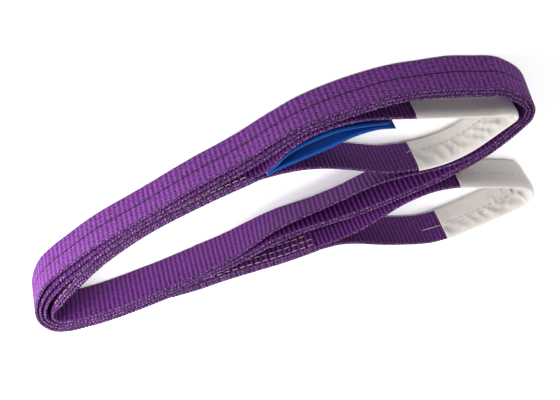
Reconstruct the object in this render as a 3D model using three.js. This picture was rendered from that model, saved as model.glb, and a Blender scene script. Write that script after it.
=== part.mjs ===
// A flat web sling for lifting: one strip of polyester webbing with a sewn eye at each end, coiled up.
// The coil lies on its webs' edges, so the webbing's width stands along +Z. Millimetres, +Z up.
// The origin is at the middle of the coil's footprint, on the surface it lies on.
import * as THREE from 'three';

// ---- driving dimensions ----
const WEB_WIDTH = 30;
const WEB_THICKNESS = 2.1;
const TAIL_THICKNESS = 2.8; // the folded-back ply, bulked up by its stitching
const PLY_GAP = 0.5; // between the two plies that a splice sews together
const CLEARANCE = 0.3; // between a thread and the face it lies on
const THREAD_THICKNESS = 0.45;
const THREAD_HEIGHT = 1.1;
const SLEEVE_WALL = 0.8;
const SLEEVE_CLEARANCE = 0.4;
const LABEL_THICKNESS = 0.5;
const LABEL_HEIGHT = 28;
const LABEL_BASE = 2;
const JOINT_GAP = 0.3; // where a strip is divided between two bodies
const STITCH_ROWS = 5;
const STITCH_ROW_PITCH = 5.5;
const STITCH_MIDDLE = 16.2; // height of the middle row
const STEPS_PER_SPAN = 2; // sections between two route points
const COIL_CENTRE = [-2.87, 0.37]; // middle of the footprint in the route's own coordinates

// A sleeve is wider than its web, so the web inside it is lifted by the sleeve's lower wall.
const SLEEVE_LIFT = SLEEVE_WALL + SLEEVE_CLEARANCE;
const SLEEVE_INNER = WEB_THICKNESS + 2 * SLEEVE_CLEARANCE;
const SLEEVE_OUTER = SLEEVE_INNER + 2 * SLEEVE_WALL;
const PLY_PITCH = (WEB_THICKNESS + TAIL_THICKNESS) / 2 + PLY_GAP;

// ---- routes, seen from above ----
// Each point is [x, y, lean, lift]: the middle of the web's upper edge, how far the lower edge stands
// outward of it, and how far the web is lifted. The strip runs anticlockwise and outward from eye A to eye B.
const SPLICE_A_ROUTE = [
  [4, -47.6], [26, -47.4], [50, -46.4], [70, -44.9], [88, -42.5], [105, -38.7], [120, -34.5], [135, -28.4],
  [150, -21], [160, -14.9], [166.3, -9.8],
];
const COIL_ROUTE = [
  // first turn: inner left bend, inner far strand, inner right bend
  [168.9, -4.6], [166.9, 0.2], [161, 3.6], [150, 6.7], [135, 9.1], [112, 10.7],
  [88, 11.2, 0.5], [62, 10.7, 1], [45, 9.8, 2], [30, 6.8, 4], [12, 2, 8], [0, 0.4, 10], [-20, 0, 13],
  [-40, -0.3, 13.6], [-58, -1, 13], [-72, 0, 11], [-86, 2.8, 8], [-104, 7.6, 4], [-122, 10.4, 2],
  [-140, 9.6], [-152, 5.7, 1], [-164.4, 0.3, 2], [-171.8, -3.6, 3], [-174.4, -8, 4], [-173, -14, 5],
  [-169.4, -19.4, 6], [-162.3, -27.8, 6], [-149.6, -34.9, 6], [-135.2, -42.2, 6], [-118.1, -50, 4],
  [-98.7, -57, 3], [-74.4, -61.2, 3], [-55, -63.4, 2], [-38, -64, 1], [-24, -61.7], [-10, -58.6], [4, -56],
  [20, -53.9], [37, -52], [55, -50.3], [72, -48.3],
  // second turn
  [90, -46], [105, -43.1], [119, -38.9], [137, -32.3], [149, -28.3], [162.1, -21.7], [168.7, -15.8],
  [172.2, -10], [172.6, -4.4], [168.7, 2.2], [162.4, 6], [150.5, 9.2], [135.3, 11.6], [112.2, 13.2],
  [88.2, 13.7, 0.5], [62, 13.6, 1], [45, 13, 2], [30, 11.3, 2.8], [12, 9.2, 3.6], [0, 9.4, 4],
  [-20, 11.6, 4.2], [-32, 13.4, 3.2], [-48, 15.3, 1.5], [-72, 16.4], [-90, 16.6], [-106, 16.4], [-122, 15],
  [-140.8, 12], [-152.8, 8.1, 1], [-166, 2.4, 2], [-173.9, -1.8, 3], [-176.9, -7.6, 4], [-175.4, -15, 5],
  [-171.4, -20.9, 6], [-163.9, -29.8, 6], [-150.8, -37.2, 6], [-136.3, -44.6, 6], [-119, -52.4, 4],
  [-99.4, -59.5, 3], [-74.7, -63.8, 3], [-55, -66.1, 2], [-38, -66.8, 1], [-24, -65.1], [-10, -62.2],
  [4, -59.6], [20, -57.5], [37, -55.6], [55, -53.4], [72, -51.2],
  // third turn
  [90, -48.8], [105, -46.4], [119.5, -42.7], [137.5, -37.1], [149, -33.2], [162.7, -26.3], [170.3, -19.4],
  [174.8, -11.6], [175.2, -4.2], [170.9, 4], [163.8, 8.3], [151, 11.6], [135.6, 14.1], [112.4, 15.7],
  [88.4, 16.2, 0.5], [62, 16.2, 1], [45, 15.9, 2], [30, 14.4, 2.8], [12, 12.4, 3.6], [0, 12.2, 4],
  [-20, 14.2, 4.4], [-32, 15.9, 3.6], [-48, 17.9, 1.8], [-63, 18.8, 0.5], [-78, 19.2], [-106, 19],
  [-122, 17.6], [-141.6, 14.4], [-153.8, 10.6, 1], [-167.8, 5, 2], [-176.3, 0.2, 3], [-179.6, -7, 4],
  [-177.8, -16, 5], [-173.4, -22.4, 6], [-165.5, -31.8, 6], [-152, -39.5, 6], [-137.4, -47, 6],
  [-119.9, -54.8, 4], [-100.1, -62, 3], [-75, -66.4, 3], [-55, -68.8, 2], [-38, -69.6, 1], [-24, -68.6],
  [-10, -66.2], [4, -63.4], [20, -61.3], [37, -59.6], [55, -57], [72, -54.2],
  // last half turn, outermost
  [90, -51.7], [105, -49.8], [120, -46.9], [138, -41.8], [149.5, -38.3], [161.5, -32.8], [171.2, -23.4],
  [176.9, -13.4], [177.7, -4], [173, 5.8], [165, 10.6], [151.5, 14], [135.9, 16.6], [112.6, 18.2],
];
const SPLICE_B_ROUTE = [
  [92, 18.9, 0.5], [74, 19.8, 0.8], [57, 21.2, 0.5], [44, 23], [29, 25.4], [12, 28], [-13, 30.3],
];
const EYE_A_ROUTE = [
  [4, -47.6], [-4, -48.6], [-12, -52, 0, 0.3], [-19, -55.8, 0, 0.6], [-28, -59.2, 0, 1],
  [-38, -61, 0, 1.2], [-55, -60.4, 0, 1.2], [-72, -56.6, 0, 1.2], [-86.5, -50.4, 0, 1.2],
  [-105, -41, 0, 1.2], [-118, -34.4, 0, 1.2], [-131, -27.8, 0, 1.2], [-144, -21.4, 0, 1.2],
  [-155, -15.8, 0, 1.2], [-162.6, -12.8, 0, 1.2], [-166.9, -9.8, 0, 1.2], [-167.1, -6.8, 0, 1.2],
  [-162.3, -4.7, 0, 1.2], [-153.2, -2.1, 0, 1.2], [-142, 1.2, 0, 1.2], [-130, 3.8, 0, 1.2],
  [-117, 4.4, 0, 1.2], [-105, 3, 0, 1.2], [-95, 0.4, 0, 1.2], [-86, -3, 0, 1.2], [-77, -7, 0, 1.2],
  [-63, -16.5, 0, 1.2], [-50, -25.5, 0, 0.9], [-38.6, -32.4, 0, 0.6], [-25, -38.4, 0, 0.3], [-10.5, -42.4],
  [4, -45],
];
const EYE_B_ROUTE = [
  [-13, 30.3], [-22, 31.2, 0, 0.2], [-33, 31.6, 0, 0.5], [-45, 30.6, 0, 0.8], [-60, 27.6, 0, 1.2],
  [-74, 24.6, 0, 1.2], [-88, 23.6, 0, 1.2], [-101, 24.8, 0, 1.2], [-117, 30, 0, 1.2],
  [-134.5, 39.8, 0, 1.2], [-148, 47.8, 0, 1.2], [-157, 53.4, 0, 1.2], [-162, 58.4, 0, 1.2],
  [-162.4, 63.6, 0, 1.2], [-157.6, 67.8, 0, 1.2], [-148, 69.6, 0, 1.2], [-133, 70.2, 0, 1.2],
  [-116, 70.4, 0, 1.2], [-97, 70, 0, 1.2], [-84, 67.2, 0, 1.2], [-68, 59.6, 0, 0.9], [-53, 51, 0, 0.6],
  [-39, 41.8, 0, 0.4], [-27, 35.9, 0, 0.2], [-13, 32.9],
];
const LABEL_FRONT_ROUTE = [
  [-3, -46.8], [-10, -48.9], [-18, -52.6], [-28, -55], [-42, -55.6], [-57, -54.5], [-73, -50],
  [-89, -43.8],
];
const LABEL_BACK_ROUTE = [
  [-3, -45.4], [-12, -45.8], [-28, -45.6], [-47, -45.6], [-65, -46], [-80, -43.6], [-91, -38.8],
];

// ---- webbing strips ----

// The sections of a strip: each has its place, its outward direction in plan, its lean and its lift.
function sections(route, steps = STEPS_PER_SPAN) {
  const points = route.map(([x, y]) => new THREE.Vector3(x, y, 0));
  const plan = new THREE.CatmullRomCurve3(points, false, 'centripetal');
  const count = (route.length - 1) * steps;
  return Array.from({ length: count + 1 }, (_, i) => {
    const place = plan.getPoint(i / count);
    const along = plan.getTangent(i / count);
    const span = Math.min(Math.floor(i / steps), route.length - 2);
    const share = i / steps - span;
    const between = (k) => THREE.MathUtils.lerp(route[span][k] ?? 0, route[span + 1][k] ?? 0, share);
    return { x: place.x, y: place.y, outX: along.y, outY: -along.x, lean: between(2), lift: between(3) };
  });
}

// The corner of a section: out is its distance outward of the middle, up its height above the web's lower edge.
function corner(section, out, up) {
  const reach = out + section.lean * (1 - up / WEB_WIDTH);
  return [section.x + section.outX * reach, section.y + section.outY * reach, section.lift + up];
}

// A strip with a rectangular section, from its outer to its inner face and from its lower to its upper edge.
function strip(parts, inner, outer, low, high) {
  const ring = (s) => [
    corner(s, outer, low), corner(s, outer, high), corner(s, inner, high), corner(s, inner, low),
  ];
  return loft(parts.map(ring), false);
}

// An open tube with a rectangular section around a strip.
function sleeve(parts, outside, inside, low, high, wall) {
  const ring = (s) => [
    corner(s, outside, low), corner(s, outside, high), corner(s, -outside, high), corner(s, -outside, low),
    corner(s, inside, low + wall), corner(s, inside, high - wall), corner(s, -inside, high - wall),
    corner(s, -inside, low + wall),
  ];
  return loft(parts.map(ring), true);
}

// Joins rings of corners into one closed mesh. A solid ring has four corners. A hollow one has four outer
// corners and then the four inner ones that face them.
function loft(rings, hollow) {
  const size = rings[0].length;
  const faces = [];
  const quad = (a, b, c, d) => faces.push(a, b, c, a, c, d);
  for (let i = 0; i + 1 < rings.length; i++) {
    for (let k = 0; k < 4; k++) {
      const [a, b] = [i * size + k, i * size + (k + 1) % 4];
      quad(b, a, a + size, b + size);
      if (hollow) quad(a + 4, b + 4, b + size + 4, a + size + 4);
    }
  }
  const last = (rings.length - 1) * size;
  if (hollow) {
    for (let k = 0; k < 4; k++) {
      const next = (k + 1) % 4;
      quad(next, next + 4, k + 4, k);
      quad(last + k, last + k + 4, last + next + 4, last + next);
    }
  } else {
    quad(0, 1, 2, 3);
    quad(last + 3, last + 2, last + 1, last);
  }
  const geometry = new THREE.BufferGeometry();
  geometry.setAttribute('position', new THREE.Float32BufferAttribute(rings.flat(2), 3));
  geometry.setIndex(faces);
  return geometry;
}

// The part of a list of sections whose arc length lies between two distances, both measured from its start.
function stretch(parts, from, to) {
  let travelled = 0;
  return parts.filter((s, i) => {
    if (i > 0) travelled += Math.hypot(s.x - parts[i - 1].x, s.y - parts[i - 1].y);
    return travelled >= from && travelled <= to;
  });
}

// Shifts the end section of a strip along the strip, so that it stops short of the body it is divided from.
function shorten(parts, atStart, gap) {
  const [end, next] = atStart ? [parts[0], parts[1]] : [parts.at(-1), parts.at(-2)];
  const share = gap / Math.hypot(next.x - end.x, next.y - end.y);
  const moved = { ...end, x: end.x + (next.x - end.x) * share, y: end.y + (next.y - end.y) * share };
  return atStart ? [moved, ...parts.slice(1)] : [...parts.slice(0, -1), moved];
}

// ---- materials ----
const plastic = (color, roughness) => new THREE.MeshStandardMaterial({ color, roughness, metalness: 0 });
const VIOLET_WEB = plastic(0x6e2f93, 0.75);
const SLEEVE_FABRIC = plastic(0xcfc8c4, 0.85);
const CREAM_THREAD = plastic(0xe6d8b8, 0.7);
const WHITE_THREAD = plastic(0xf2efea, 0.7);
const BLUE_LABEL = plastic(0x053c8c, 0.35);

const sling = new THREE.Group();
function add(name, geometry, material) {
  const mesh = new THREE.Mesh(geometry, material);
  mesh.name = name;
  mesh.position.set(-COIL_CENTRE[0], -COIL_CENTRE[1], 0);
  sling.add(mesh);
}

const HALF_WEB = WEB_THICKNESS / 2;
const HALF_TAIL = TAIL_THICKNESS / 2;
const web = (parts, shift = 0, half = HALF_WEB) => strip(parts, shift - half, shift + half, 0, WEB_WIDTH);

// ---- the coiled body: one strip from splice A to splice B ----
const spliceA = sections(SPLICE_A_ROUTE);
const spliceB = sections(SPLICE_B_ROUTE);
const body = sections([...SPLICE_A_ROUTE, ...COIL_ROUTE, ...SPLICE_B_ROUTE]);
add('body_web', web(body), VIOLET_WEB);

// ---- splices: the strip's tails, folded back from the eyes and sewn to the body ----
const tailA = body.slice(0, spliceA.length);
const tailB = body.slice(body.length - spliceB.length);
add('splice_a_tail', web(tailA, -PLY_PITCH, HALF_TAIL), VIOLET_WEB);
add('splice_b_tail', web(tailB, PLY_PITCH, HALF_TAIL), VIOLET_WEB);

// A row of stitching is the thread that shows on one face of a splice, at one height.
function stitchRow(name, parts, face, side, row) {
  const middle = STITCH_MIDDLE + (row - (STITCH_ROWS - 1) / 2) * STITCH_ROW_PITCH;
  const near = face + side * CLEARANCE;
  const far = near + side * THREAD_THICKNESS;
  const [low, high] = [middle - THREAD_HEIGHT / 2, middle + THREAD_HEIGHT / 2];
  add(`${name}_${row + 1}`, strip(parts, Math.min(near, far), Math.max(near, far), low, high), CREAM_THREAD);
}
const sewnA = tailA.slice(1, -1);
const sewnB = tailB.slice(3, -1);
for (let row = 0; row < STITCH_ROWS; row++) {
  stitchRow('splice_a_outer_stitch', sewnA, HALF_WEB, 1, row);
  stitchRow('splice_a_inner_stitch', sewnA, -PLY_PITCH - HALF_TAIL, -1, row);
  stitchRow('splice_b_inner_stitch', sewnB, -HALF_WEB, -1, row);
  stitchRow('splice_b_outer_stitch', sewnB, PLY_PITCH + HALF_TAIL, 1, row);
}

// ---- eyes: a loop of the strip, its wear sleeve, and the sleeve's seam ----
function eye(letter, route, sleeveFrom, sleeveTo, seam) {
  const loop = sections(route);
  const ends = shorten(shorten(loop, true, JOINT_GAP), false, JOINT_GAP);
  add(`eye_${letter}_web`, web(ends), VIOLET_WEB);
  const covered = stretch(loop, sleeveFrom, sleeveTo);
  const outside = SLEEVE_OUTER / 2;
  const top = WEB_WIDTH + SLEEVE_LIFT;
  add(`wear_sleeve_${letter}`,
    sleeve(covered, outside, SLEEVE_INNER / 2, -SLEEVE_LIFT, top, SLEEVE_WALL), SLEEVE_FABRIC);
  const face = seam.side * (outside + CLEARANCE);
  const [near, far] = [face, face + seam.side * THREAD_THICKNESS];
  add(`sleeve_${letter}_seam`,
    strip(stretch(loop, seam.from, seam.to), Math.min(near, far), Math.max(near, far),
      seam.height - THREAD_HEIGHT / 2, seam.height + THREAD_HEIGHT / 2), WHITE_THREAD);
}
eye('a', EYE_A_ROUTE, 116, 262, { side: 1, from: 200, to: 258, height: 13 });
eye('b', EYE_B_ROUTE, 106, 232, { side: 1, from: 176, to: 229, height: 18 });

// ---- label: two leaves that start where eye A's legs part, between the plies of splice A ----
function leaf(name, route) {
  const half = LABEL_THICKNESS / 2;
  add(name, strip(sections(route), -half, half, LABEL_BASE, LABEL_BASE + LABEL_HEIGHT), BLUE_LABEL);
}
leaf('label_front_leaf', LABEL_FRONT_ROUTE);
leaf('label_back_leaf', LABEL_BACK_ROUTE);

export default sling;
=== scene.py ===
"""Looks of a coiled flat web sling: violet webbing with a sewn, sleeved eye at each end, and a label.

Lengths are in millimetres and are turned into metres when a mesh is made. A route point is
(x, y, lean, lift) in the drawing's own coordinates: the middle of the web's upper edge, how far the lower
edge stands outward of it, and how far the web is lifted off the floor.
"""

import math
import random

import bpy
import numpy as np
from mathutils import Matrix, Vector


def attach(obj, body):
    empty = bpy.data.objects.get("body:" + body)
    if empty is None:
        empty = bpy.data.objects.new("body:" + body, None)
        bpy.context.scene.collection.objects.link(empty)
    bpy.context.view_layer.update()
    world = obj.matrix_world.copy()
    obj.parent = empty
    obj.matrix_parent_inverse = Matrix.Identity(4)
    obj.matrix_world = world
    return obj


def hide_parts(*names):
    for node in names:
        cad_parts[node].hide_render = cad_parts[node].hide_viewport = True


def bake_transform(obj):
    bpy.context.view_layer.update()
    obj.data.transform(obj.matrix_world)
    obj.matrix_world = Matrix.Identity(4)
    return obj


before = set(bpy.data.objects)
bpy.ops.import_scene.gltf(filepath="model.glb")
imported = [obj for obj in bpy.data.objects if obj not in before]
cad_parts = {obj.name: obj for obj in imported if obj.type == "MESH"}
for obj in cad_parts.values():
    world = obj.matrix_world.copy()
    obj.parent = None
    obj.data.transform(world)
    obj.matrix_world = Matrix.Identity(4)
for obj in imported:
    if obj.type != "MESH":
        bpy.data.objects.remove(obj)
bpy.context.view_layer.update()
random.seed(7)

MM = 0.001
COIL_CENTRE = (-2.87, 0.37)
WEB_WIDTH = 30.0
# half thicknesses of one ply, of the bulkier folded-back ply and of a flattened sleeve
HALF_WEB = 1.05
HALF_TAIL = 1.4
SLEEVE_HALF = 2.15
# heights of the rows of stitches, and how far from a row its quilting reaches
STITCH_ROWS = [5.2, 10.7, 16.2, 21.7, 27.2]
QUILT_REACH = 2.85
# distances from one rib to the next, and of the other repeats in the weave
OUTER_RIB = 3.7
INNER_RIB = 3.4
EYE_RIB = 3.0
RIM_BEAD = 2.4
TWILL_REPEAT = 2.5
SLEEVE_WEAVE = 0.7
# half the width of the woven-in marker stripe
STRIPE_HALF = 0.65
# a stretch of the cloth's own width that belongs to the rims, clear of both faces
RIM_ACROSS = 40
# radii of the threads
STITCH_RADIUS = 0.24
SEAM_RADIUS = 0.26
LOOSE_RADIUS = 0.22
# the label's height, its lower edge above the floor, half its thickness and its hem's width
LABEL_HEIGHT = 28
LABEL_LIFT = 2
LABEL_HALF = 0.22
LABEL_HEM = 2
# distances between sections along the body, the eyes and the label
STEP = 0.8
EYE_STEP = 0.7
LABEL_STEP = 1.2
# length over which a folded-back ply thins towards its end
TAPER = 26.0

SPLICE_A_ROUTE = [
    (4, -47.6), (26, -47.4), (50, -46.4), (70, -44.9), (88, -42.5), (105, -38.7), (120, -34.5), (135, -28.4),
    (150, -21), (160, -14.9), (166.3, -9.8),
]
COIL_ROUTE = [
    # first turn: inner left bend, inner far strand, inner right bend
    (168.9, -4.6), (166.9, 0.2), (161, 3.6), (150, 6.7), (135, 9.1), (112, 10.7),
    (88, 11.2, 0.5), (62, 10.7, 1), (45, 9.8, 2), (30, 6.8, 4), (12, 2, 8), (0, 0.4, 10), (-20, 0, 13),
    (-40, -0.3, 13.6), (-58, -1, 13), (-72, 0, 11), (-86, 2.8, 8), (-104, 7.6, 4), (-122, 10.4, 2),
    (-140, 9.6), (-152, 5.7, 1), (-164.4, 0.3, 2), (-171.8, -3.6, 3), (-174.4, -8, 4), (-173, -14, 5),
    (-169.4, -19.4, 6), (-162.3, -27.8, 6), (-149.6, -34.9, 6), (-135.2, -42.2, 6), (-118.1, -50, 4),
    (-98.7, -57, 3), (-74.4, -61.2, 3), (-55, -63.4, 2), (-38, -64, 1), (-24, -61.7), (-10, -58.6), (4, -56),
    (20, -53.9), (37, -52), (55, -50.3), (72, -48.3),
    # second turn
    (90, -46), (105, -43.1), (119, -38.9), (137, -32.3), (149, -28.3), (162.1, -21.7), (168.7, -15.8),
    (172.2, -10), (172.6, -4.4), (168.7, 2.2), (162.4, 6), (150.5, 9.2), (135.3, 11.6), (112.2, 13.2),
    (88.2, 13.7, 0.5), (62, 13.6, 1), (45, 13, 2), (30, 11.3, 2.8), (12, 9.2, 3.6), (0, 9.4, 4),
    (-20, 11.6, 4.2), (-32, 13.4, 3.2), (-48, 15.3, 1.5), (-72, 16.4), (-90, 16.6), (-106, 16.4), (-122, 15),
    (-140.8, 12), (-152.8, 8.1, 1), (-166, 2.4, 2), (-173.9, -1.8, 3), (-176.9, -7.6, 4), (-175.4, -15, 5),
    (-171.4, -20.9, 6), (-163.9, -29.8, 6), (-150.8, -37.2, 6), (-136.3, -44.6, 6), (-119, -52.4, 4),
    (-99.4, -59.5, 3), (-74.7, -63.8, 3), (-55, -66.1, 2), (-38, -66.8, 1), (-24, -65.1), (-10, -62.2),
    (4, -59.6), (20, -57.5), (37, -55.6), (55, -53.4), (72, -51.2),
    # third turn
    (90, -48.8), (105, -46.4), (119.5, -42.7), (137.5, -37.1), (149, -33.2), (162.7, -26.3), (170.3, -19.4),
    (174.8, -11.6), (175.2, -4.2), (170.9, 4), (163.8, 8.3), (151, 11.6), (135.6, 14.1), (112.4, 15.7),
    (88.4, 16.2, 0.5), (62, 16.2, 1), (45, 15.9, 2), (30, 14.4, 2.8), (12, 12.4, 3.6), (0, 12.2, 4),
    (-20, 14.2, 4.4), (-32, 15.9, 3.6), (-48, 17.9, 1.8), (-63, 18.8, 0.5), (-78, 19.2), (-106, 19),
    (-122, 17.6), (-141.6, 14.4), (-153.8, 10.6, 1), (-167.8, 5, 2), (-176.3, 0.2, 3), (-179.6, -7, 4),
    (-177.8, -16, 5), (-173.4, -22.4, 6), (-165.5, -31.8, 6), (-152, -39.5, 6), (-137.4, -47, 6),
    (-119.9, -54.8, 4), (-100.1, -62, 3), (-75, -66.4, 3), (-55, -68.8, 2), (-38, -69.6, 1), (-24, -68.6),
    (-10, -66.2), (4, -63.4), (20, -61.3), (37, -59.6), (55, -57), (72, -54.2),
    # last half turn, outermost
    (90, -51.7), (105, -49.8), (120, -46.9), (138, -41.8), (149.5, -38.3), (161.5, -32.8), (171.2, -23.4),
    (176.9, -13.4), (177.7, -4), (173, 5.8), (165, 10.6), (151.5, 14), (135.9, 16.6), (112.6, 18.2),
]
SPLICE_B_ROUTE = [
    (92, 18.9, 0.5), (74, 19.8, 0.8), (57, 21.2, 0.5), (44, 23), (29, 25.4), (12, 28), (-13, 30.3),
]
EYE_A_ROUTE = [
    (4, -47.6), (-4, -48.6), (-12, -52, 0, 0.3), (-19, -55.8, 0, 0.6), (-28, -59.2, 0, 1),
    (-38, -61, 0, 1.2), (-55, -60.4, 0, 1.2), (-72, -56.6, 0, 1.2), (-86.5, -50.4, 0, 1.2),
    (-105, -41, 0, 1.2), (-118, -34.4, 0, 1.2), (-131, -27.8, 0, 1.2), (-144, -21.4, 0, 1.2),
    (-155, -15.8, 0, 1.2), (-162.6, -12.8, 0, 1.2), (-166.9, -9.8, 0, 1.2), (-167.1, -6.8, 0, 1.2),
    (-162.3, -4.7, 0, 1.2), (-153.2, -2.1, 0, 1.2), (-142, 1.2, 0, 1.2), (-130, 3.8, 0, 1.2),
    (-117, 4.4, 0, 1.2), (-105, 3, 0, 1.2), (-95, 0.4, 0, 1.2), (-86, -3, 0, 1.2), (-77, -7, 0, 1.2),
    (-63, -16.5, 0, 1.2), (-50, -25.5, 0, 0.9), (-38.6, -32.4, 0, 0.6), (-25, -38.4, 0, 0.3), (-10.5, -42.4),
    (4, -45),
]
EYE_B_ROUTE = [
    (-13, 30.3), (-22, 31.2, 0, 0.2), (-33, 31.6, 0, 0.5), (-45, 30.6, 0, 0.8), (-60, 27.6, 0, 1.2),
    (-74, 24.6, 0, 1.2), (-88, 23.6, 0, 1.2), (-101, 24.8, 0, 1.2), (-117, 30, 0, 1.2),
    (-134.5, 39.8, 0, 1.2), (-148, 47.8, 0, 1.2), (-157, 53.4, 0, 1.2), (-162, 58.4, 0, 1.2),
    (-162.4, 63.6, 0, 1.2), (-157.6, 67.8, 0, 1.2), (-148, 69.6, 0, 1.2), (-133, 70.2, 0, 1.2),
    (-116, 70.4, 0, 1.2), (-97, 70, 0, 1.2), (-84, 67.2, 0, 1.2), (-68, 59.6, 0, 0.9), (-53, 51, 0, 0.6),
    (-39, 41.8, 0, 0.4), (-27, 35.9, 0, 0.2), (-13, 32.9),
]
LABEL_FRONT_ROUTE = [
    (-3, -46.8), (-10, -48.9), (-18, -52.6), (-28, -55), (-42, -55.6), (-57, -54.5), (-73, -50),
    (-89, -43.8),
]
LABEL_BACK_ROUTE = [
    (-3, -45.4), (-12, -45.8), (-28, -45.6), (-47, -45.6), (-65, -46), (-80, -43.6), (-91, -38.8),
]


# ---- paths: a strip's middle line with its outward direction, lean and lift ----


def spline(route, per_span=16):
    """A centripetal Catmull-Rom curve through the route, as rows of x, y, lean, lift."""
    points = np.array([p[:2] for p in route], float)
    extra = np.array([(*p[2:], 0, 0)[:2] for p in route], float)
    before = 2 * points[0] - points[1]
    after = 2 * points[-1] - points[-2]
    p = np.vstack([before, points, after])
    knots = np.sqrt(np.linalg.norm(np.diff(p, axis=0), axis=1))
    rows = []
    for i in range(len(points) - 1):
        p0, p1, p2, p3 = p[i : i + 4]
        d0, d1, d2 = knots[i : i + 3]
        leave = ((p1 - p0) / d0 - (p2 - p0) / (d0 + d1) + (p2 - p1) / d1) * d1
        reach = ((p2 - p1) / d1 - (p3 - p1) / (d1 + d2) + (p3 - p2) / d2) * d1
        last = i == len(points) - 2
        u = np.linspace(0, 1, per_span + 1)[: None if last else -1, None]
        place = p1 + leave * u + (3 * (p2 - p1) - 2 * leave - reach) * u**2
        place = place + (leave + reach - 2 * (p2 - p1)) * u**3
        rows.append(np.hstack([place, extra[i] + (extra[i + 1] - extra[i]) * u]))
    line = np.vstack(rows)
    line[:, :2] -= COIL_CENTRE
    return line


class Path:
    """A line resampled evenly by length, from one arc length to another."""

    def __init__(self, line, step, start=0.0, stop=None):
        travelled = np.r_[0, np.cumsum(np.linalg.norm(np.diff(line[:, :2], axis=0), axis=1))]
        stop = travelled[-1] if stop is None else stop
        count = max(2, int(round((stop - start) / step)) + 1)
        self.s = np.linspace(start, stop, count)
        self.rows = np.stack([np.interp(self.s, travelled, line[:, k]) for k in range(4)], axis=1)
        along = np.gradient(self.rows[:, :2], axis=0)
        along /= np.linalg.norm(along, axis=1)[:, None]
        self.along = along
        self.out = np.stack([along[:, 1], -along[:, 0]], axis=1)

    def place(self, out, up):
        """Points at distances out and up from the strip's lower middle, for every section and ring place."""
        lean = self.rows[:, 2][:, None]
        reach = out + lean * (1 - up / WEB_WIDTH)
        x = self.rows[:, 0][:, None] + self.out[:, 0][:, None] * reach
        y = self.rows[:, 1][:, None] + self.out[:, 1][:, None] * reach
        z = self.rows[:, 3][:, None] + up + 0 * reach
        return np.stack([x, y, z], axis=2)


def ripple(s, v, seed, wave):
    """Smooth uneven height from -1 to 1 over length s and width v, with features about wave long."""
    chance = np.random.default_rng(seed)
    total = 0
    for _ in range(7):
        turn = chance.uniform(0, math.pi)
        length = wave * chance.uniform(0.7, 1.6)
        phase = chance.uniform(0, 2 * math.pi)
        total = total + np.sin(2 * math.pi * (s * math.cos(turn) + v * math.sin(turn)) / length + phase)
    return total / 7


def crease(s, v, seed, wave, slant):
    """Folds across the width with sharp crests, from 0 to 1, about wave apart and slanting with v."""
    bend = ripple(s, v, seed, wave * 3.2) * 2.2
    return 1 - np.abs(np.sin(math.pi * (s + slant * v) / wave + bend))


# ---- meshes ----


def make(name, points, faces, material, uv=None, face_material=None, smooth=True):
    """A mesh object from points in millimetres, with one uv pair and one material number each where given."""
    mesh = bpy.data.meshes.new(name)
    places = np.asarray(points).reshape(-1, 3) * MM
    mesh.from_pydata(places.tolist(), [], [list(map(int, f)) for f in faces])
    materials = material if isinstance(material, list) else [material]
    for m in materials:
        mesh.materials.append(m)
    if face_material is not None:
        mesh.polygons.foreach_set("material_index", np.asarray(face_material, np.int32))
    if uv is not None:
        layer = mesh.uv_layers.new(name="cloth")
        corners = np.empty(len(mesh.loops), np.int32)
        mesh.loops.foreach_get("vertex_index", corners)
        layer.data.foreach_set("uv", np.asarray(uv, np.float32)[corners].ravel())
    mesh.polygons.foreach_set("use_smooth", [smooth] * len(mesh.polygons))
    mesh.update()
    thing = bpy.data.objects.new(name, mesh)
    bpy.context.collection.objects.link(thing)
    return thing


def ring_faces(sections, size, offset=0, flip=False):
    """The quads of a tube whose sections have size points each."""
    i, k = np.meshgrid(np.arange(sections - 1), np.arange(size), indexing="ij")
    a = i * size + k
    b = i * size + (k + 1) % size
    quads = np.stack([b, a, a + size, b + size], axis=2).reshape(-1, 4) + offset
    return quads[:, ::-1] if flip else quads


def end_caps(sections, size):
    """The faces that close a tube's two ends."""
    last = (sections - 1) * size
    return [list(range(size)), list(range(last + size - 1, last - 1, -1))]


# heights of the points across a web's face: on the stitch rows, halfway between them and near the rims
FACE_UP = np.array([0.7, 2.6, 5.2, 7.95, 10.7, 13.45, 16.2, 18.95, 21.7, 24.45, 27.2, 28.4, 29.4])


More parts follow.
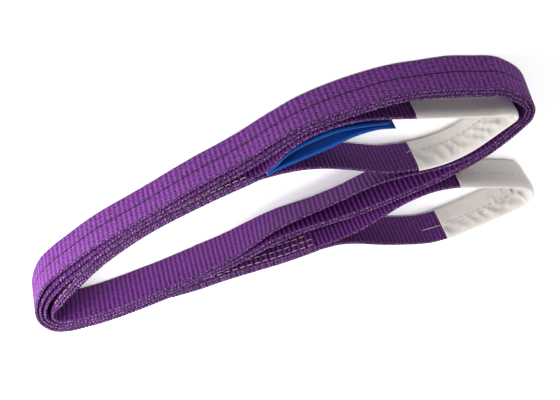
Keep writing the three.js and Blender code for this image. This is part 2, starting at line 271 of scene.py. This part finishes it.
def web(name, path, shift, ribs, look, sewn=None, half=None):
    """Webbing along a path. ribs are the pitches of its outward and inward faces.

    sewn gives, at each section, how far the outward and the inward face are quilted by stitching.
    """
    s = path.s[:, None]
    up = FACE_UP[None, :]
    half = np.full(len(path.s), HALF_WEB) if half is None else half
    half = half[:, None]
    outward, inward = (sewn if sewn is not None else (0 * path.s, 0 * path.s))

    def relief(pitch, quilt, seed):
        fade = np.clip(np.minimum(up, WEB_WIDTH - up) / 2.5, 0, 1)
        sway = 0.05 * ripple(s, up, seed, 60)
        rib = 0.5 - 0.5 * np.cos(2 * math.pi * (s / pitch + sway))
        nearest = np.min(np.abs(up[..., None] - np.array(STITCH_ROWS)), axis=2)
        puff = np.clip(nearest / QUILT_REACH, 0, 1) * 0.75 - 0.3
        waviness = 0.12 * ripple(s, up, seed + 5, 55)
        return fade * (0.26 * rib - 0.14) + quilt[:, None] * puff * (0.6 + 0.4 * rib) + waviness

    high = half + relief(ribs[0], outward, 1)
    low = -half - relief(ribs[1], inward, 2)
    rows = len(path.s)
    beads = 0.13 * np.sin(2 * math.pi * s / RIM_BEAD)
    edge = np.array([[0.62, 0, -0.62]])
    rim_out = edge * half * (1 + beads)
    rim_high = np.array([[29.85, 30.05, 29.85]]) + beads * 0.9 + 0.18 * ripple(s, 0, 9, 24)
    rim_low = np.array([[0.15, 0.0, 0.15]]) + 0 * s
    shift = np.full(rows, shift) if np.isscalar(shift) else shift
    out = np.hstack([high, rim_out, low[:, ::-1], -rim_out]) + shift[:, None]
    face = np.repeat(up, rows, axis=0)
    height = np.hstack([face, rim_high, face[:, ::-1], rim_low])
    size = out.shape[1]
    points = path.place(out, height).reshape(-1, 3)
    across = np.hstack([face, rim_out + RIM_ACROSS, face[:, ::-1], rim_out + RIM_ACROSS])
    uv = np.stack([np.repeat(s, size, axis=1), across], axis=2).reshape(-1, 2)
    faces = ring_faces(rows, size).tolist() + end_caps(rows, size)
    n = len(FACE_UP)
    ring_look = np.array([0] * (n - 1) + [2] * 4 + [1] * (n - 1) + [2] * 4)
    looks = np.r_[np.tile(ring_look, rows - 1), 2, 2]
    return make(name, points, faces, look, uv, looks)


def thread(points, radius, sides=6):
    """A closed round thread along points, with blunt rounded ends: its vertices and faces."""
    p = np.asarray(points, float)
    along = np.gradient(p, axis=0)
    along /= np.linalg.norm(along, axis=1)[:, None]
    side = np.cross(along, [0, 0, 1.0])
    side /= np.maximum(np.linalg.norm(side, axis=1), 1e-9)[:, None]
    over = np.cross(side, along)
    turn = np.linspace(0, 2 * math.pi, sides, endpoint=False)
    size = np.full(len(p), radius)
    size[[0, -1]] *= 0.45
    ring = np.cos(turn)[None, :, None] * side[:, None, :] + np.sin(turn)[None, :, None] * over[:, None, :]
    points = (p[:, None, :] + ring * size[:, None, None]).reshape(-1, 3)
    return points, ring_faces(len(p), sides).tolist() + end_caps(len(p), sides)


def threads(name, lines, radius, material):
    """Many threads in one mesh."""
    points, faces, offset = [], [], 0
    for line in lines:
        p, f = thread(line, radius)
        faces += [[k + offset for k in face] for face in f]
        points.append(p)
        offset += len(p)
    return make(name, np.vstack(points), faces, material)


def dashes(path, out, up, pitch, length, sag, unevenness=0.25):
    """The lines of running stitches along a path, each sinking into the cloth at both ends."""
    lines = []
    travelled = path.s - path.s[0]
    start = 0.6
    while start + length < travelled[-1]:
        share = np.linspace(0, 1, 7)
        at = start + share * length
        rows = np.stack([np.interp(at, travelled, path.rows[:, k]) for k in range(4)], axis=1)
        side = np.stack([np.interp(at, travelled, path.out[:, k]) for k in range(2)], axis=1)
        height = up + unevenness * random.uniform(-1, 1) + 0.2 * (share - 0.5) * random.uniform(-1, 1)
        reach = out - math.copysign(sag, out) * (2 * share - 1) ** 4 + rows[:, 2] * (1 - height / WEB_WIDTH)
        place = rows[:, :2] + side * reach[:, None]
        lines.append(np.column_stack([place, rows[:, 3] + height]))
        start += pitch * random.uniform(0.94, 1.06)
    return lines


# ---- materials ----


class Nodes:
    """A short way to build a material's node tree."""

    def __init__(self, name):
        self.material = bpy.data.materials.new(name)
        self.material.use_nodes = True
        self.tree = self.material.node_tree
        self.shader = self.tree.nodes["Principled BSDF"]

    def node(self, kind, **settings):
        made = self.tree.nodes.new(kind)
        for key, value in settings.items():
            setattr(made, key, value)
        return made

    def link(self, source, target):
        self.tree.links.new(source, target)

    def math(self, operation, *values):
        made = self.node("ShaderNodeMath", operation=operation)
        for k, value in enumerate(values):
            if isinstance(value, (int, float)):
                made.inputs[k].default_value = value
            else:
                self.link(value, made.inputs[k])
        return made.outputs[0]

    def mix(self, factor, low, high):
        made = self.node("ShaderNodeMix", data_type="RGBA")
        for value, socket in ((factor, 0), (low, 6), (high, 7)):
            if isinstance(value, tuple):
                made.inputs[socket].default_value = (*value, 1)
            elif isinstance(value, (int, float)):
                made.inputs[socket].default_value = value
            else:
                self.link(value, made.inputs[socket])
        return made.outputs[2]

    def noise(self, vector, scale, detail=2.0):
        made = self.node("ShaderNodeTexNoise")
        made.inputs["Scale"].default_value = scale
        made.inputs["Detail"].default_value = detail
        self.link(vector, made.inputs["Vector"])
        return made.outputs["Fac"]

    def cloth(self):
        """The cloth's own coordinates: the whole vector, the distance along and the distance across."""
        uv = self.node("ShaderNodeUVMap", uv_map="cloth")
        parts = self.node("ShaderNodeSeparateXYZ")
        self.link(uv.outputs[0], parts.inputs[0])
        return uv.outputs[0], parts.outputs[0], parts.outputs[1]

    def bump(self, height, strength, distance):
        made = self.node("ShaderNodeBump")
        made.inputs["Strength"].default_value = strength
        made.inputs["Distance"].default_value = distance
        self.link(height, made.inputs["Height"])
        self.link(made.outputs[0], self.shader.inputs["Normal"])

    def finish(self, colour, roughness, sheen=0.0, specular=0.3):
        """Sets the shader's own values; colour is a node's output or one constant colour."""
        if isinstance(colour, tuple):
            self.shader.inputs["Base Color"].default_value = (*colour, 1)
        else:
            self.link(colour, self.shader.inputs["Base Color"])
        self.shader.inputs["Roughness"].default_value = roughness
        self.shader.inputs["Specular IOR Level"].default_value = specular
        self.shader.inputs["Sheen Weight"].default_value = sheen
        self.shader.inputs["Sheen Roughness"].default_value = 0.5
        return self.material


# the webbing's violet: painted shade for the grooves between its threads, its average, a painted highlight
# for its crests, and its woven-in stripe
PAINTED_GAP_SHADE = (0.011, 0.002, 0.025)
MID = (0.058, 0.011, 0.115)
PAINTED_CREST_HIGHLIGHT = (0.245, 0.050, 0.335)
STRIPE = (0.003, 0.001, 0.008)


def web_face(name, pitch, striped=False, twill=0.12):
    """Ribbed webbing: ribs across the width, a fine warp along it, and the woven-in marker stripe. Crests of
    the ribs and twill are painted lighter as a painted highlight, their grooves darker as painted shade, and
    noise specks paint glints and shade on single threads.
    """
    n = Nodes(name)
    vector, along, across = n.cloth()
    uneven = n.math("MULTIPLY", n.math("SUBTRACT", n.noise(vector, 0.6, 2), 0.5), 0.22)
    phase = n.math("ADD", n.math("DIVIDE", along, pitch), uneven)
    wave = n.math("COSINE", n.math("MULTIPLY", phase, 2 * math.pi))
    rib = n.math("MULTIPLY_ADD", wave, -0.5, 0.5)
    step = n.math("MULTIPLY_ADD", across, 1 / TWILL_REPEAT, n.math("MULTIPLY", along, 0.5 / pitch))
    grain = n.math("MULTIPLY_ADD", n.math("SINE", n.math("MULTIPLY", step, 2 * math.pi)), 0.5, 0.5)
    # noise specks: painted glints and painted shade on single threads
    speck = n.math("SUBTRACT", n.noise(vector, 0.5, 3), 0.5)
    ribbed = n.math("MULTIPLY_ADD", rib, 0.75 - 0.5 * twill, 0.25 + 0.5 * twill)
    woven = n.math("MULTIPLY", ribbed, n.math("MULTIPLY_ADD", grain, twill, 0.62 - 0.5 * twill))
    body = n.math("MAXIMUM", n.math("MULTIPLY_ADD", speck, 0.5 + 3 * twill, woven), 0.0)
    # painted shade in the grooves rising to a painted highlight on the crests
    shade = n.mix(n.math("MINIMUM", body, 1.0), PAINTED_GAP_SHADE, PAINTED_CREST_HIGHLIGHT)
    colour = n.mix(0.15, shade, MID)
    if striped:
        off = n.math("ABSOLUTE", n.math("SUBTRACT", across, WEB_WIDTH / 2))
        inside = n.math("LESS_THAN", off, STRIPE_HALF)
        on = n.math("MULTIPLY", inside, n.math("MULTIPLY_ADD", grain, 0.3, 0.7))
        colour = n.mix(on, colour, STRIPE)
    height = n.math("ADD", rib, n.math("MULTIPLY", n.math("ADD", grain, speck), 0.45))
    n.bump(height, 0.9, 0.0003)
    return n.finish(colour, 0.6, specular=0.1)


def web_rim(name):
    """A web's woven edge: beads and light specks of thread, with painted shade in the dark gaps between them.
    """
    n = Nodes(name)
    vector, along, across = n.cloth()
    beads = n.math("MULTIPLY", along, 2 * math.pi / RIM_BEAD)
    weave = n.math("SINE", n.math("ADD", beads, n.math("MULTIPLY", across, 2.4)))
    speck = n.noise(vector, 0.9, 3)
    blotch = n.noise(vector, 0.35, 2)
    grain = n.math("ADD", n.math("MULTIPLY", speck, 3.8), n.math("MULTIPLY_ADD", blotch, 1.2, -2.3))
    mix = n.math("ADD", n.math("MULTIPLY", weave, 0.22), grain)
    # the dark end of this mix is painted shade in the gaps between beads and specks
    colour = n.mix(n.math("MINIMUM", n.math("MAXIMUM", mix, 0.0), 1.0), PAINTED_GAP_SHADE, (0.31, 0.13, 0.39))
    n.bump(n.math("ADD", weave, speck), 0.8, 0.0003)
    return n.finish(colour, 0.7, specular=0.1)


def woven_white(name, colour, bump_strength):
    """Tightly woven light cloth."""
    n = Nodes(name)
    vector, along, across = n.cloth()
    weft = n.math("SINE", n.math("MULTIPLY", along, 2 * math.pi / SLEEVE_WEAVE))
    warp = n.math("SINE", n.math("MULTIPLY", across, 2 * math.pi / SLEEVE_WEAVE))
    grain = n.math("MULTIPLY", weft, warp)
    cloud = n.noise(vector, 0.12, 4)
    dark = tuple(c * 0.86 for c in colour)
    shade = n.mix(n.math("MULTIPLY_ADD", grain, 0.12, n.math("MULTIPLY_ADD", cloud, 0.5, 0.3)), dark, colour)
    rumple = n.math("MULTIPLY", n.noise(vector, 0.3, 4), 1.5)
    n.bump(n.math("MULTIPLY_ADD", grain, 0.5, rumple), bump_strength, 0.0002)
    return n.finish(shade, 0.62, sheen=0.1)


def plain(name, colour, roughness, specular=0.3):
    """One colour with a faint unevenness."""
    n = Nodes(name)
    vector = n.node("ShaderNodeTexCoord").outputs["Object"]
    low = tuple(c * 0.8 for c in colour)
    return n.finish(n.mix(n.noise(vector, 900, 2), low, colour), roughness, specular=specular)


# the looks of a web's outward face, inward face and rims
web_look = [
    web_face("webbing_outer", OUTER_RIB, striped=True, twill=0.34),
    web_face("webbing_inner", INNER_RIB),
    web_rim("webbing_edge"),
]
eye_look = [web_face("eye_inside", EYE_RIB), web_face("eye_outside", EYE_RIB, striped=True), web_look[2]]
sleeve_look = woven_white("sleeve_cloth", (0.69, 0.65, 0.615), 0.5)
cream_look = plain("cream_thread", (0.50, 0.41, 0.34), 0.6)
# the seam's white thread, coloured darker than the sleeve as painted shade along the seam
seam_thread_shaded_look = plain("white_thread_painted_shade", (0.46, 0.43, 0.40), 0.6)

# ---- the coiled body and its two folded-back tails ----

body_line = spline(SPLICE_A_ROUTE + COIL_ROUTE + SPLICE_B_ROUTE)


def length_of(line):
    """A line's length as seen from above."""
    return float(np.sum(np.linalg.norm(np.diff(line[:, :2], axis=0), axis=1)))


splice_a_length = length_of(spline(SPLICE_A_ROUTE))
splice_b_length = length_of(spline(SPLICE_B_ROUTE))
body_length = length_of(body_line)
body_path = Path(body_line, STEP)


def sewn_share(s, start, stop, ramp=4.0):
    """1 along a sewn stretch and 0 away from it."""
    return np.clip((s - start) / ramp, 0, 1) * np.clip((stop - s) / ramp, 0, 1)


in_a = sewn_share(body_path.s, 0, splice_a_length - 6)
in_b = sewn_share(body_path.s, body_length - splice_b_length + 4, body_length)
body = web("coil_webbing", body_path, 0, (OUTER_RIB, INNER_RIB), web_look, sewn=(in_a, in_b))
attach(body, "coil")
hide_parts("body_web")

tail_a_path = Path(body_line, STEP, 0, splice_a_length)
tail_b_path = Path(body_line, STEP, body_length - splice_b_length, body_length)
for letter, path, side in (("a", tail_a_path, -1), ("b", tail_b_path, 1)):
    sewn = sewn_share(path.s, path.s[0] + 2, path.s[-1])
    quilt = (0 * sewn, sewn) if side < 0 else (sewn, 0 * sewn)
    from_end = path.s[-1] - path.s if side < 0 else path.s - path.s[0]
    full = 0.12 + 0.88 * np.sin(np.clip(from_end / TAPER, 0, 1) * math.pi / 2)
    half = HALF_TAIL * full
    shift = side * (HALF_WEB - 0.1 + 0.25 * full + half)
    faces = [web_look[1], web_look[1], web_look[2]]
    tail = web(f"splice_{letter}_ply", path, shift, (INNER_RIB, OUTER_RIB), faces, quilt, half)
    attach(tail, "coil")
    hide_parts(f"splice_{letter}_tail")

# ---- the splices' stitching ----

SEWN = (
    ("splice_a_outer_stitch", tail_a_path, HALF_WEB + 0.3, 5),
    ("splice_a_inner_stitch", tail_a_path, -HALF_WEB - 2 * HALF_TAIL - 0.15, 5),
    ("splice_b_inner_stitch", tail_b_path, -HALF_WEB - 0.12, 7),
    ("splice_b_outer_stitch", tail_b_path, HALF_WEB + 2 * HALF_TAIL + 0.3, 7),
)
for name, path, out, margin in SEWN:
    for row, up in enumerate(STITCH_ROWS):
        sewn = Path(body_line, STEP, path.s[0] + margin, path.s[-1] - 1.5)
        lines = dashes(sewn, out, up, pitch=5.4, length=4.5, sag=0.6)
        stitch = threads(f"{name}_thread_{row + 1}", lines, STITCH_RADIUS, cream_look)
        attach(stitch, "coil")
        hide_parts(f"{name}_{row + 1}")

# ---- eyes ----


def sleeve_mesh(name, path, seam_at, tip_at, seed, strong):
    """A wear sleeve: a cloth tube of two skins round the web, with folds gathered at the eye's tip."""
    s = path.s[:, None]
    up = np.linspace(-0.2, 30.2, 15)[None, :]
    near_tip = np.exp(-(((s - tip_at) / 26.0) ** 2))
    second_leg = 1 / (1 + np.exp(-(s - tip_at) / 6.0))
    inner_fold = 0.6 * crease(s, up, seed, 9.0, 0.55) + 0.4 * crease(s, up, seed + 11, 6.5, -0.8)
    wrinkle = 0.12 + 0.5 * second_leg * np.clip((up - seam_at + 4) / 8, 0.15, 1) + strong * near_tip
    fold = np.clip(np.minimum(up + 1.2, 31.2 - up) / 5.0, 0, 1) ** 0.55
    edge = np.clip(np.minimum(up + 0.6, 30.6 - up) / 4.0, 0.2, 1)
    rumple = (0.18 + 0.9 * wrinkle) * ripple(s, up, seed + 1, 13)
    slack = (0.06 + 0.25 * near_tip) * ripple(s, up, seed + 2, 12)
    inward = SLEEVE_HALF * fold + edge * (wrinkle * (1.9 * inner_fold - 0.66) + rumple)
    outward = SLEEVE_HALF * fold + edge * (slack + 0.1 * ripple(s, up, seed + 3, 30))
    # the least distance of the outer skin from the web's middle, which keeps that skin outside the web
    cover = np.where((up < 0) | (up > WEB_WIDTH), 1.0, 1.5)
    inward = np.maximum(inward, cover)
    outward = np.maximum(outward, cover)
    sewn_line = np.exp(-(((up - seam_at) / 1.3) ** 2)) * np.clip((s - tip_at - 4) / 8, 0, 1)
    inward = inward + (SLEEVE_HALF - 0.25 - 0.2 * np.cos(2 * math.pi * s / 4.3) - inward) * sewn_line
    rim = np.array([[0.4, 0.0, -0.4]]) + 0 * s
    rim_wave = 0.3 * ripple(s, 0, seed + 4, 16) * (0.4 + near_tip)
    rows = len(path.s)
    top = np.array([[31.0, 31.35, 31.0]]) + rim_wave
    base = np.array([[-0.9, -1.15, -0.9]]) + 0 * s
    face = np.repeat(up, rows, axis=0)
    out = np.hstack([inward, rim, -outward[:, ::-1], -rim])
    height = np.hstack([face, top, face[:, ::-1], base])
    inner_out = np.clip(out, -SLEEVE_HALF, SLEEVE_HALF) * 0.84
    middle = WEB_WIDTH / 2
    inner_height = middle + (height - middle) * 0.97
    size = out.shape[1]
    skins = [path.place(o, h).reshape(-1, 3) for o, h in ((out, height), (inner_out, inner_height))]
    total = rows * size
    faces = [ring_faces(rows, size), ring_faces(rows, size, total, flip=True)]
    k = np.arange(size)
    nxt = (k + 1) % size
    last = (rows - 1) * size
    faces.append(np.stack([nxt, nxt + total, k + total, k], axis=1))
    faces.append(np.stack([last + k, last + k + total, last + nxt + total, last + nxt], axis=1))
    across = np.cumsum(np.r_[0, np.hypot(np.diff(out[0]), np.diff(height[0]))])[None, :] + 0 * s
    uv = np.stack([np.repeat(s, size, axis=1), across], axis=2).reshape(-1, 2)
    return make(name, np.vstack(skins), np.vstack(faces), sleeve_look, np.vstack([uv, uv]))


def flap_mesh(name, path, low, high, lift, seed):
    """The sleeve's overlapping edge, a strip of cloth on its inward face."""
    s = path.s[:, None]
    share = np.linspace(0, 1, 17)[None, :]
    wave = 0.4 * ripple(s, 0, seed, 15)
    up = low + (high + wave - low) * share
    hug = np.clip((up + 1.2) / 5.0, 0, 1) ** 0.55
    front = SLEEVE_HALF * hug + lift + 0.2 * ripple(s, up, seed + 1, 9) + 0.25 * np.sin(math.pi * share)
    front = front - 0.4 * np.exp(-(((up - high + 1.4) / 1.0) ** 2))
    back = front - 0.45
    out = np.hstack([front, back[:, ::-1]])
    height = np.hstack([up, up[:, ::-1]])
    size = out.shape[1]
    rows = len(path.s)
    uv = np.stack([np.repeat(s, size, axis=1), height], axis=2).reshape(-1, 2)
    faces = ring_faces(rows, size).tolist() + end_caps(rows, size)
    return make(name, path.place(out, height).reshape(-1, 3), faces, sleeve_look, uv)


def join(first, *others):
    """Puts the other meshes into the first one's object."""
    bpy.ops.object.select_all(action="DESELECT")
    for thing in (first, *others):
        thing.select_set(True)
    bpy.context.view_layer.objects.active = first
    bpy.ops.object.join()
    return first


def eye(letter, route, sleeve_from, sleeve_to, seam_from, seam_to, seam_at, tip_at, strong, seed):
    """An eye's loop of web with its sleeve and seam. The from, to and tip values are lengths along the loop.

    seam_at is the seam's height, and strong how deep the tip's folds are.
    """
    line = spline(route)
    whole = length_of(line)
    loop = web(f"eye_{letter}_webbing", Path(line, EYE_STEP), 0, (EYE_RIB, EYE_RIB), eye_look)
    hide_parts(f"eye_{letter}_web")
    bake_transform(loop)
    cover = Path(line, STEP, sleeve_from, sleeve_to)
    sleeve = sleeve_mesh(f"sleeve_{letter}_cloth", cover, seam_at, tip_at, seed, strong)
    overlap = Path(line, STEP, tip_at + 14, sleeve_to - 0.3)
    flap = flap_mesh("flap", overlap, low=1.4, high=seam_at + 1.4, lift=0.15, seed=seed + 7)
    sleeve = join(sleeve, flap)
    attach(sleeve, f"eye_{letter}")
    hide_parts(f"wear_sleeve_{letter}")
    sewn = Path(line, STEP, seam_from, seam_to)
    lines = dashes(sewn, SLEEVE_HALF + 0.3, seam_at, pitch=4.3, length=2.9, sag=0.6, unevenness=0.3)
    first_leg = Path(line, STEP, sleeve_from + 2, tip_at - 8)
    backs = dashes(first_leg, -SLEEVE_HALF - 0.22, seam_at, pitch=4.3, length=2.6, sag=0.45)
    seam = threads(f"sleeve_{letter}_stitching", lines + backs, SEAM_RADIUS, seam_thread_shaded_look)
    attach(seam, f"eye_{letter}")
    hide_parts(f"sleeve_{letter}_seam")
    return line, whole, loop, sleeve


def seam_end(letter, path_line, at, up, points):
    """A seam's loose thread end. points are steps along, outward and upward from where it leaves."""
    place = Path(path_line, 0.5)
    k = int(np.argmin(np.abs(place.s - at)))
    base = place.place(np.array([[SLEEVE_HALF - 0.4]]), np.array([[up]]))[k, 0]
    along, side = place.along[k], place.out[k]
    line = [base + np.array([*(along * a + side * o), u]) for a, o, u in points]
    curve = np.array(line)
    fine = np.linspace(0, len(curve) - 1, 14)
    smooth = np.stack([np.interp(fine, np.arange(len(curve)), curve[:, c]) for c in range(3)], axis=1)
    tail = threads(f"seam_end_{letter}", [smooth], LOOSE_RADIUS, seam_thread_shaded_look)
    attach(tail, f"eye_{letter}")


# each seam's height, and where along the loop its sleeve ends
SEAM_UP_A = 12.5
SEAM_UP_B = 18.0
SLEEVE_END_A = 262
SLEEVE_END_B = 232
line_a, length_a, loop_a, sleeve_a = eye(
    "a", EYE_A_ROUTE, sleeve_from=116, sleeve_to=SLEEVE_END_A, seam_from=200, seam_to=258, seam_at=SEAM_UP_A,
    tip_at=187, strong=0.75, seed=21,
)
line_b, length_b, loop_b, sleeve_b = eye(
    "b", EYE_B_ROUTE, sleeve_from=106, sleeve_to=SLEEVE_END_B, seam_from=176, seam_to=229, seam_at=SEAM_UP_B,
    tip_at=163, strong=1.25, seed=42,
)
seam_end("b", line_b, SLEEVE_END_B, SEAM_UP_B, [(0, 0.3, 0), (5, 1.0, 0.4), (11, 1.1, 0.2), (16, 0.6, -0.4)])
seam_end("a", line_a, SLEEVE_END_A, SEAM_UP_A, [(-1, 0.9, 0), (1.5, 1.2, 0.5), (3.5, 0.8, 1.2)])

# ---- label ----


def label_look():
    """Blue label cloth with a lighter line near each long edge, a painted highlight along the hem's ridge."""
    n = Nodes("label_blue")
    vector, _, across = n.cloth()
    tint = n.mix(n.noise(vector, 0.05, 2), (0.0, 0.036, 0.215), (0.0, 0.068, 0.360))
    middle = LABEL_HEIGHT / 2
    from_middle = n.math("ABSOLUTE", n.math("SUBTRACT", across, middle))
    from_hem = n.math("ABSOLUTE", n.math("SUBTRACT", from_middle, middle - LABEL_HEM))
    hem = n.math("LESS_THAN", from_hem, 0.3)
    # the hem line is painted lighter: a painted highlight along its ridge
    colour = n.mix(n.math("MULTIPLY", hem, 0.35), tint, (0.05, 0.20, 0.50))
    n.bump(n.math("MULTIPLY_ADD", hem, 0.6, n.noise(vector, 0.25, 2)), 0.35, 0.0004)
    return n.finish(colour, 0.38, specular=0.45)


def leaf(name, node, route, seed):
    """One leaf of the label, bending between eye A and the label's own body."""
    path = Path(spline(route), LABEL_STEP)
    s = path.s[:, None]
    up = np.linspace(0, LABEL_HEIGHT, 10)[None, :]
    wave = 0.25 * ripple(s, up, seed, 45)
    rows = len(path.s)
    out = np.hstack([LABEL_HALF + wave, -LABEL_HALF + wave[:, ::-1]])
    height = np.hstack([np.repeat(up, rows, axis=0), np.repeat(up[:, ::-1], rows, axis=0)])
    size = out.shape[1]
    uv = np.stack([np.repeat(s, size, axis=1), height], axis=2).reshape(-1, 2)
    faces = ring_faces(rows, size).tolist() + end_caps(rows, size)
    thing = make(name, path.place(out, height + LABEL_LIFT).reshape(-1, 3), faces, label_blue, uv)
    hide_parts(node)
    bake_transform(thing)
    return thing, path


label_blue = label_look()
front, front_path = leaf("label_front", "label_front_leaf", LABEL_FRONT_ROUTE, 61)
back, back_path = leaf("label_back", "label_back_leaf", LABEL_BACK_ROUTE, 62)

# ---- floor ----

bpy.ops.mesh.primitive_plane_add(size=8, location=(0, 0, -0.0004))
floor = bpy.context.object
floor.name = "floor"
floor.data.materials.append(Nodes("floor").finish((0.93, 0.93, 0.93), 0.9, specular=0.1))

# ---- camera: looks down on the coil, rolled almost upside down ----

heading, elevation, roll = math.radians(5.0), math.radians(49.22), math.radians(160.43)
reach = math.cos(elevation)
forward = Vector((math.sin(heading) * reach, math.cos(heading) * reach, -math.sin(elevation)))
level = forward.cross(Vector((0, 0, 1))).normalized()
above = level.cross(forward)
right = level * math.cos(roll) + above * math.sin(roll)
upward = above * math.cos(roll) - level * math.sin(roll)
lens = bpy.data.cameras.new("camera")
lens.lens = 81.0
lens.sensor_width = 36.0
camera = bpy.data.objects.new("camera", lens)
bpy.context.collection.objects.link(camera)
turn = Matrix((right, upward, -forward)).transposed().to_4x4()
camera.matrix_world = Matrix.Translation(Vector((-47.6, -559.4, 655.0)) * MM) @ turn
bpy.context.scene.camera = camera

# ---- light ----


def area(name, place, aim, size, power):
    """A round white lamp at a place in metres, turned towards a point."""
    data = bpy.data.lights.new(name, "AREA")
    data.shape = "DISK"
    data.size = size
    data.energy = power
    made = bpy.data.objects.new(name, data)
    bpy.context.collection.objects.link(made)
    way = Vector(aim) - Vector(place)
    made.matrix_world = Matrix.Translation(Vector(place)) @ way.to_track_quat("-Z", "Y").to_matrix().to_4x4()


world = bpy.data.worlds.new("studio")
bpy.context.scene.world = world
world.use_nodes = True
world.node_tree.nodes["Background"].inputs["Color"].default_value = (1, 1, 1, 1)
world.node_tree.nodes["Background"].inputs["Strength"].default_value = 0.36
area("key", (0.38, -0.17, 0.21), (0.08, -0.02, 0.01), 0.26, 3.6)
area("top", (-0.4, 0.05, 1.7), (-0.08, 0, 0), 0.9, 23)
bpy.context.scene.view_settings.view_transform = "Standard"
